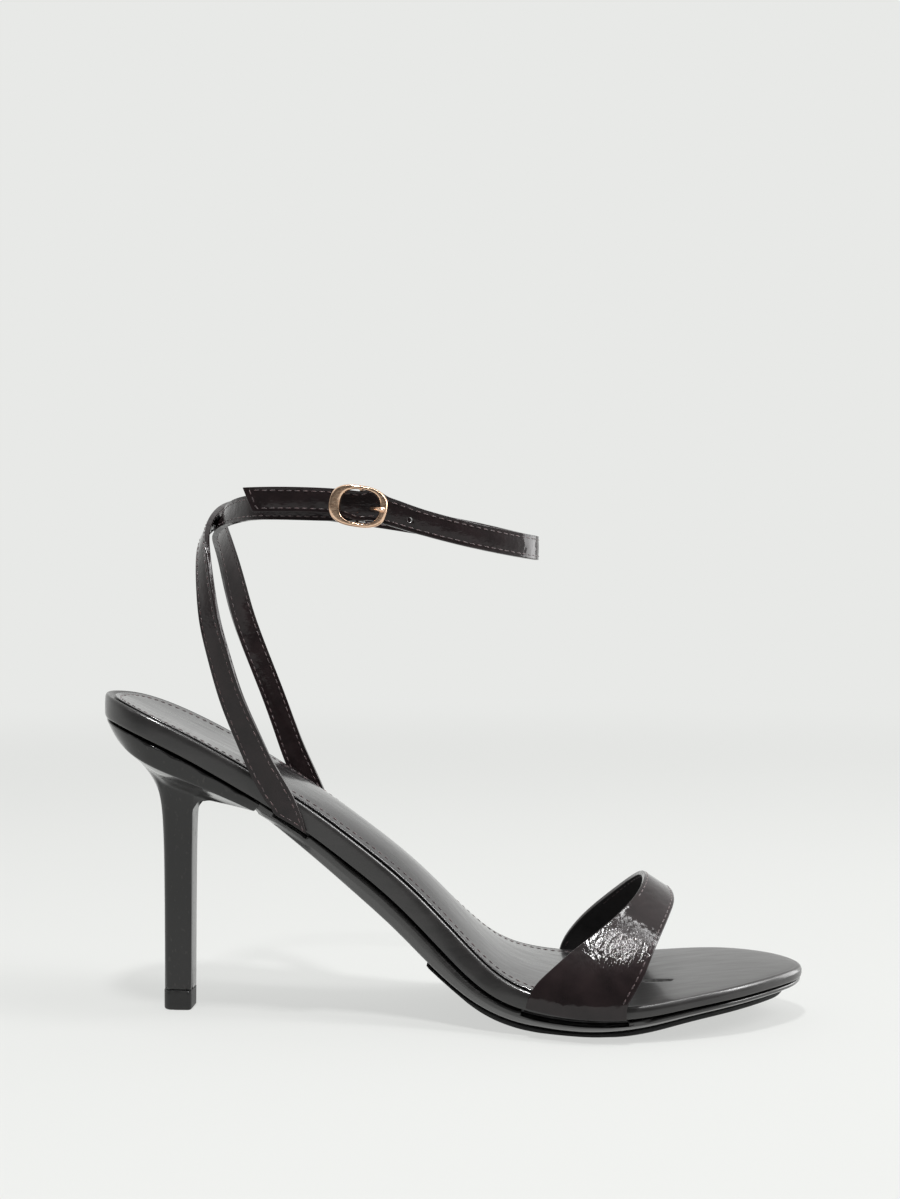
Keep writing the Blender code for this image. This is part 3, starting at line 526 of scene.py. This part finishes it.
def strap_lining():
    """Black lining leather on the wrong side of the toe strap: dull, with a fine grain."""
    finish, tree, shader = new_finish("lining leather", Roughness=0.6, IOR=1.45)
    place = add_node(tree, "ShaderNodeTexCoord").outputs["Object"]
    grain = patterned(tree, place, 0.6, 4.0)
    tree.links.new(raised(tree, grain.outputs["Fac"], 0.03), shader.inputs["Normal"])
    colour = two_tone(tree, spread_over(tree, grain.outputs["Fac"], 0.0, 1.0), "#141213", "#201D1E")
    tree.links.new(colour, shader.inputs["Base Color"])
    return finish


def band_leather():
    """Calf leather pulled round the board: a satin face with faint pull marks along the edge."""
    finish, tree, shader = new_finish(
        "wrapped calf leather", IOR=1.48, Coat_Weight=0.5, Coat_Roughness=0.15)
    place = add_node(tree, "ShaderNodeTexCoord").outputs["Object"]
    pulls = patterned(tree, place, 4.0, 3.0, (0.25, 1.0, 1.0))
    grain = patterned(tree, place, 0.5, 3.0)
    normal = raised(tree, pulls.outputs["Fac"], 0.10)
    normal = raised(tree, grain.outputs["Fac"], 0.012, normal)
    tree.links.new(normal, shader.inputs["Normal"])
    tree.links.new(spread_over(tree, pulls.outputs["Fac"], 0.30, 0.42), shader.inputs["Roughness"])
    colour = two_tone(tree, spread_over(tree, pulls.outputs["Fac"], 0.0, 1.0), "#1D1C1C", "#292727")
    tree.links.new(colour, shader.inputs["Base Color"])
    return finish


def sock_leather():
    """Glazed sock leather: a glossy face with rubbed streaks along the foot."""
    finish, tree, shader = new_finish(
        "glazed sock leather", IOR=1.5, Coat_Weight=0.7, Coat_Roughness=0.10, Coat_IOR=1.5)
    place = add_node(tree, "ShaderNodeTexCoord").outputs["Object"]
    streaks = patterned(tree, place, 3.0, 4.0, (0.12, 1.0, 0.12))
    dents = patterned(tree, place, 9.0, 2.0)
    grain = patterned(tree, place, 0.45, 3.0)
    normal = raised(tree, dents.outputs["Fac"], 0.20)
    normal = raised(tree, streaks.outputs["Fac"], 0.04, normal)
    normal = raised(tree, grain.outputs["Fac"], 0.010, normal)
    tree.links.new(normal, shader.inputs["Normal"])
    tree.links.new(normal, shader.inputs["Coat Normal"])
    tree.links.new(spread_over(tree, streaks.outputs["Fac"], 0.24, 0.40), shader.inputs["Roughness"])
    colour = two_tone(tree, spread_over(tree, streaks.outputs["Fac"], 0.0, 1.0), "#1B1A1B", "#262425")
    tree.links.new(colour, shader.inputs["Base Color"])
    return finish


def outsole_edge():
    """Inked resin outsole: a waxed satin edge."""
    finish, tree, shader = new_finish(
        "waxed outsole resin", IOR=1.5, Coat_Weight=0.9, Coat_Roughness=0.10)
    place = add_node(tree, "ShaderNodeTexCoord").outputs["Object"]
    lines = patterned(tree, place, 1.4, 3.0, (0.15, 1.0, 1.0))
    tree.links.new(raised(tree, lines.outputs["Fac"], 0.02), shader.inputs["Normal"])
    tree.links.new(spread_over(tree, lines.outputs["Fac"], 0.32, 0.46), shader.inputs["Roughness"])
    colour = two_tone(tree, spread_over(tree, lines.outputs["Fac"], 0.0, 1.0), "#191818", "#242222")
    tree.links.new(colour, shader.inputs["Base Color"])
    return finish


def tread_rubber():
    """Moulded rubber of the half sole: matt, with a pebbled tread drawn 1.6 mm across."""
    finish, tree, shader = new_finish("pebbled rubber", Roughness=0.75, IOR=1.48)
    place = add_node(tree, "ShaderNodeTexCoord").outputs["Object"]
    pebbles = add_node(tree, "ShaderNodeTexVoronoi", {"Vector": place, "Scale": 1 / (1.6 * MM)})
    dust = patterned(tree, place, 0.4, 2.0)
    normal = raised(tree, pebbles.outputs["Distance"], 0.12)
    tree.links.new(raised(tree, dust.outputs["Fac"], 0.02, normal), shader.inputs["Normal"])
    colour = two_tone(tree, pebbles.outputs["Distance"], "#1C1C1C", "#121212")
    tree.links.new(colour, shader.inputs["Base Color"])
    return finish


def heel_leather():
    """Thin leather stretched over the heel: a soft gloss with small rubs and scuffs."""
    finish, tree, shader = new_finish(
        "stretched heel leather", IOR=1.5, Specular_IOR_Level=0.15, Coat_Weight=0.8, Coat_Roughness=0.09)
    place = add_node(tree, "ShaderNodeTexCoord").outputs["Object"]
    swells = patterned(tree, place, 8.0, 2.0, (1.0, 1.0, 0.6))
    grain = patterned(tree, place, 0.5, 3.0)
    scuffs = patterned(tree, place, 1.1, 4.0, (1.0, 1.0, 0.5))
    normal = raised(tree, swells.outputs["Fac"], 0.12)
    normal = raised(tree, grain.outputs["Fac"], 0.010, normal)
    tree.links.new(normal, shader.inputs["Normal"])
    tree.links.new(normal, shader.inputs["Coat Normal"])
    rubbed = add_node(tree, "ShaderNodeMapRange", {
        "Value": scuffs.outputs["Fac"], "From Min": 0.62, "From Max": 0.75,
        "To Min": 0.28, "To Max": 0.6}).outputs[0]
    tree.links.new(rubbed, shader.inputs["Roughness"])
    worn = add_node(tree, "ShaderNodeMapRange", {
        "Value": scuffs.outputs["Fac"], "From Min": 0.60, "From Max": 0.78}).outputs[0]
    tree.links.new(two_tone(tree, worn, "#171616", "#343130"), shader.inputs["Base Color"])
    return finish


def tip_plastic():
    """Hard moulded tip: satin polyurethane with fine scratches from the ground up."""
    finish, tree, shader = new_finish("moulded tip plastic", IOR=1.5)
    place = add_node(tree, "ShaderNodeTexCoord").outputs["Object"]
    scratches = patterned(tree, place, 0.7, 4.0, (1.0, 1.0, 6.0))
    tree.links.new(raised(tree, scratches.outputs["Fac"], 0.015), shader.inputs["Normal"])
    tree.links.new(spread_over(tree, scratches.outputs["Fac"], 0.35, 0.55), shader.inputs["Roughness"])
    colour = two_tone(tree, spread_over(tree, scratches.outputs["Fac"], 0.0, 1.0), "#151515", "#232222")
    tree.links.new(colour, shader.inputs["Base Color"])
    return finish


def sewing_thread():
    """Bonded polyester thread: a red-brown twist with a slight sheen, drawn 0.5 mm a turn."""
    finish, tree, shader = new_finish("bonded thread", Roughness=0.45, IOR=1.5, Sheen_Weight=0.3)
    place = add_node(tree, "ShaderNodeTexCoord").outputs["Object"]
    twist = add_node(tree, "ShaderNodeTexWave", {
        "Vector": place, "Scale": 1 / (0.5 * MM) / 6.3, "Distortion": 1.0},
        bands_direction="DIAGONAL")
    tree.links.new(raised(tree, twist.outputs["Fac"], 0.05), shader.inputs["Normal"])
    tree.links.new(two_tone(tree, twist.outputs["Fac"], "#2B1E21", "#4C3637"), shader.inputs["Base Color"])
    return finish


def rose_gold():
    """Polished rose gold plate: bright, with hairlines from the polishing."""
    finish, tree, shader = new_finish("polished rose gold plate", Metallic=1.0)
    place = add_node(tree, "ShaderNodeTexCoord").outputs["Object"]
    hairlines = patterned(tree, place, 0.5, 3.0, (0.3, 1.0, 2.0))
    tree.links.new(raised(tree, hairlines.outputs["Fac"], 0.01), shader.inputs["Normal"])
    tree.links.new(spread_over(tree, hairlines.outputs["Fac"], 0.14, 0.24), shader.inputs["Roughness"])
    colour = two_tone(tree, spread_over(tree, hairlines.outputs["Fac"], 0.0, 1.0), "#E9BE9E", "#F6D6BA")
    tree.links.new(colour, shader.inputs["Base Color"])
    return finish


def painted_floor():
    """Matt painted studio floor: pale and even, with a very faint mottle 300 mm across."""
    finish, tree, shader = new_finish("matt studio paint", Roughness=0.95, Specular_IOR_Level=0.1)
    place = add_node(tree, "ShaderNodeTexCoord").outputs["Object"]
    mottle = patterned(tree, place, 300.0, 2.0)
    colour = two_tone(tree, mottle.outputs["Fac"], "#B7B8B6", "#BBBCBA")
    tree.links.new(colour, shader.inputs["Base Color"])
    # the light of the room lifts the shadows; far out it hides the horizon
    far = add_node(tree, "ShaderNodeVectorMath", {0: place}, operation="LENGTH")
    share = add_node(tree, "ShaderNodeMapRange", {
        "Value": far.outputs["Value"], "From Min": 0.35, "From Max": 1.6, "To Min": 0.72},
        interpolation_type="SMOOTHERSTEP").outputs[0]
    wall = add_node(tree, "ShaderNodeEmission", {"Color": linear(BACKDROP)})
    blend = add_node(tree, "ShaderNodeMixShader", {0: share, 1: shader.outputs[0], 2: wall.outputs[0]})
    tree.links.new(blend.outputs[0], tree.nodes["Material Output"].inputs["Surface"])
    return finish


def dress(piece, *finishes):
    """Give a piece its finishes and let it ride with the sandal."""
    for finish in finishes:
        piece.data.materials.append(finish)
    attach(piece, "root")
    return piece


# Sole

def make_footbed(leather):
    """The wrapped board, smoothed round its rolled rim."""
    piece = copy_of("footbed", "wrapped_footbed")
    smooth_out(piece, 2)
    # the leather in front of the toe strap has a slit, cut by hand
    edit(piece)
    pick_faces(piece, near_slit)
    bpy.ops.mesh.subdivide(number_cuts=4)
    close_edit()
    press(piece, FOOTBED_SLIT)
    piece.data.shade_smooth()
    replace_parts(dress(piece, leather), "footbed")


def near_slit(face):
    """Whether a face of the footbed's top lies round the slit."""
    place = face.calc_center_median()
    along, across = SLIT_REGION
    inside = along[0] < place.x < along[1] and across[0] < place.y < across[1]
    return inside and face.normal.z > 0.7


def make_sock(leather, thread):
    """The sock with its sewn channel, and the row of stitches along it."""
    piece = copy_of("insole", "sock")
    sew_channel(piece, SOCK_STITCH_INSET, STITCH_SINK, top=SOCK_TOP)
    smooth_out(piece, 2)
    runs = seam_runs(piece, lambda point, normal: normal.z > 0.2 and point.x < SOCK_SEWN_END)
    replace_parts(dress(piece, leather), "insole")
    stitches = sew("sock_stitches", runs, 0.3 * THREAD)
    dress(stitches, thread)


def make_outsole(resin):
    """The outsole with its worked edge; its back end is let into the heel's breast."""
    piece = copy_of("outsole", "outsole_body")
    edit(piece)
    pick_faces(piece, lambda face: face.normal.x < -0.5 and face.calc_center_median().x < BREAST_END)
    bpy.ops.transform.translate(value=OUTSOLE_LET_IN)
    crease_edges(piece, lambda edge: edge_turn(edge) > SOLE_CORNER, 0.8)
    crease_edges(piece, lambda edge: middle_of(edge).x < BREAST_END)
    close_edit()
    smooth_out(piece, 2)
    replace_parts(dress(piece, resin), "outsole")


def make_half_sole(rubber):
    """The tread, its edges kept crisp."""
    piece = copy_of("half_sole", "half_sole_tread")
    edit(piece)
    crease_edges(piece, lambda edge: edge_turn(edge) > SOLE_CORNER, 0.8)
    close_edit()
    smooth_out(piece, 2)
    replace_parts(dress(piece, rubber), "half_sole")


# Heel

def make_heel(leather, plastic):
    """The covered heel, its front corners and the ridge over its hollow kept crisp."""
    piece = copy_of("heel", "covered_heel")
    edit(piece)
    crease_edges(piece, lambda edge: edge_turn(edge) > HEEL_CORNER, 0.85)
    crease_edges(piece, lambda edge: edge_turn(edge) > HEEL_RIDGE and middle_of(edge).z > FLARE_FOOT, 0.95)
    close_edit()
    smooth_out(piece, 3)
    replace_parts(dress(piece, leather), "heel")
    tip = copy_of("heel_tip", "moulded_tip")
    edit(tip)
    crease_edges(tip, lambda edge: edge_turn(edge) > HEEL_CORNER, 0.9)
    close_edit()
    smooth_out(tip, 2)
    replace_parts(dress(tip, plastic), "heel_tip")


# Straps

def round_edges(piece, levels=2):
    """Round a strap's cut edges and smooth it."""
    apply_step(
        piece, "BEVEL", width=EDGE_ROUND, segments=2, limit_method="ANGLE",
        angle_limit=math.radians(STRAP_TURN))
    smooth_out(piece, levels)


def line_inside(piece, facing_in):
    """Give the faces on the wrong side of a strap the second finish."""
    for face in piece.data.polygons:
        face.material_index = int(facing_in(face))


def make_toe_strap(patent, lining, thread):
    """The band over the toes, sewn along its front edge."""
    piece = sheet_of("toe_strap", "toe_strap_band", TOE_STRAP_CREST, (0, 0, 1))
    trim(piece, lambda face: face.normal.z < -TUCKED_IN)
    sew_channel(piece, STITCH_INSET, 0.5 * STITCH_SINK, STRAP_WALL)
    round_edges(piece, levels=3)
    press(piece, TOE_STRAP_CREASES)
    runs = seam_runs(
        piece, lambda point, normal: point.x > toe_front(point) and point.z > TOE_SEWN_FROM)
    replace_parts(dress(piece, patent, lining), "toe_strap")
    inside = Vector((0.0, TOE_MIDDLE, 0.0))
    line_inside(piece, lambda face: face.normal.dot((face.center - inside) * Vector((0, 1, 1))) < 0)
    stitches = sew("toe_strap_stitches", runs, 0.2 * THREAD)
    dress(stitches, thread)


def toe_front(point):
    """A place along the sandal that parts the toe strap's back edge from its front one."""
    along, low = TOE_LINE_START
    forward, rise = TOE_LINE_RISE
    return along + forward * min(max((point.z - low) / rise, 0.0), 1.0)


def make_ankle_straps(patent, thread):
    """The outer strap with its tail, and the inner strap that becomes the chape."""
    outer = sheet_of("ankle_straps", "outer_ankle_strap", OUTER_STRAP_FACE, (0, -1, 0))
    inner = sheet_of("ankle_straps", "inner_ankle_strap", INNER_STRAP_FACE, (0, -1, 0))
    for piece, wall, reopen in ((outer, STRAP_WALL, False), (inner, CHAPE_WALL, True)):
        trim(piece, lambda face: abs(face.normal.z) > TUCKED_IN and face.calc_center_median().z < FOOT_TOP)
        sew_channel(piece, STITCH_INSET, STITCH_SINK, wall, reopen=reopen)
        round_edges(piece)
        dress(piece, patent)
    for spot, push in WINDOW_FILL:
        ease(outer, spot, push, 5 * MM)
    punch(outer, PUNCH_SPOT, PUNCH_FACING, PUNCH_RADIUS, 3 * STRAP_WALL)
    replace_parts(outer, "ankle_straps")
    runs = seam_runs(outer, lambda point, normal: True) + seam_runs(inner, lambda point, normal: True)
    stitches = sew("ankle_strap_stitches", runs, 0.2 * THREAD)
    dress(stitches, thread)


# Buckle

def make_buckle(plate):
    """The oval frame and its pin, with softly rounded edges."""
    for node, name in (("buckle_frame", "oval_buckle"), ("buckle_prong", "buckle_pin")):
        piece = copy_of(node, name)
        edit(piece)
        crease_edges(piece, lambda edge: edge_turn(edge) > BUCKLE_CORNER, 0.5)
        close_edit()
        smooth_out(piece, 2)
        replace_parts(dress(piece, plate), node)


# Studio

def make_floor():
    bpy.ops.object.select_all(action="DESELECT")
    bpy.ops.mesh.primitive_plane_add(size=60, location=(0, 0, 0))
    floor = bpy.context.object
    floor.name = "studio_floor"
    floor.data.materials.append(painted_floor())


def soft_box(name, spot, aim, width, height, power):
    """A rectangular soft light aimed at a point."""
    light = bpy.data.lights.new(name, "AREA")
    light.shape = "RECTANGLE"
    light.size = width
    light.size_y = height
    light.energy = power
    lamp = bpy.data.objects.new(name, light)
    lamp.location = spot
    lamp.rotation_euler = (Vector(aim) - Vector(spot)).to_track_quat("-Z", "Y").to_euler()
    lamp.visible_camera = False
    bpy.context.scene.collection.objects.link(lamp)


def light_studio():
    """A pale room with a key from the right, soft boxes beside it and one over the toe strap."""
    world = bpy.data.worlds.new("studio")
    bpy.context.scene.world = world
    world.use_nodes = True
    tree = world.node_tree
    place = add_node(tree, "ShaderNodeTexCoord").outputs["Generated"]
    split = add_node(tree, "ShaderNodeSeparateXYZ", {"Vector": place})
    # the wall behind the sandal is pale and the room behind the camera is darker
    behind = add_node(tree, "ShaderNodeMapRange", {
        "Value": split.outputs["Y"], "From Min": -0.7, "From Max": 0.3,
        "To Min": 0.10, "To Max": 0.82}, interpolation_type="SMOOTHSTEP").outputs[0]
    colour = add_node(tree, "ShaderNodeMix", {
        "Factor": behind, "A": (0, 0, 0, 1), "B": linear("#FDFEFC")}, data_type="RGBA")
    seen = add_node(tree, "ShaderNodeLightPath").outputs["Is Camera Ray"]
    plain = add_node(tree, "ShaderNodeMix", {
        "Factor": seen, "A": colour.outputs[2], "B": linear(BACKDROP)}, data_type="RGBA")
    tree.links.new(plain.outputs[2], tree.nodes["Background"].inputs["Color"])
    sun = bpy.data.lights.new("key", "SUN")
    sun.energy = SUN_POWER
    sun.angle = math.radians(SUN_ANGLE)
    key = bpy.data.objects.new("key", sun)
    key.rotation_euler = Vector(SUN_AIM).to_track_quat("-Z", "Y").to_euler()
    bpy.context.scene.collection.objects.link(key)
    for row in LIGHTS:
        soft_box(*row)


def place_camera():
    view = bpy.data.cameras.new("camera")
    view.lens = CAMERA_LENS
    view.sensor_width = 36
    view.shift_y = CAMERA_SHIFT
    view.clip_start = 0.01
    camera = bpy.data.objects.new("camera", view)
    camera.location = CAMERA_SPOT
    camera.rotation_euler = [math.radians(turn) for turn in CAMERA_TURN]
    bpy.context.scene.collection.objects.link(camera)
    bpy.context.scene.camera = camera


def build():
    patent = patent_leather()
    thread = sewing_thread()
    make_footbed(band_leather())
    make_sock(sock_leather(), thread)
    make_outsole(outsole_edge())
    make_half_sole(tread_rubber())
    make_heel(heel_leather(), tip_plastic())
    make_toe_strap(toe_patent_leather(), strap_lining(), thread)
    make_ankle_straps(patent, thread)
    make_buckle(rose_gold())
    make_floor()
    light_studio()
    place_camera()
    bpy.context.scene.view_settings.view_transform = "Standard"


build()
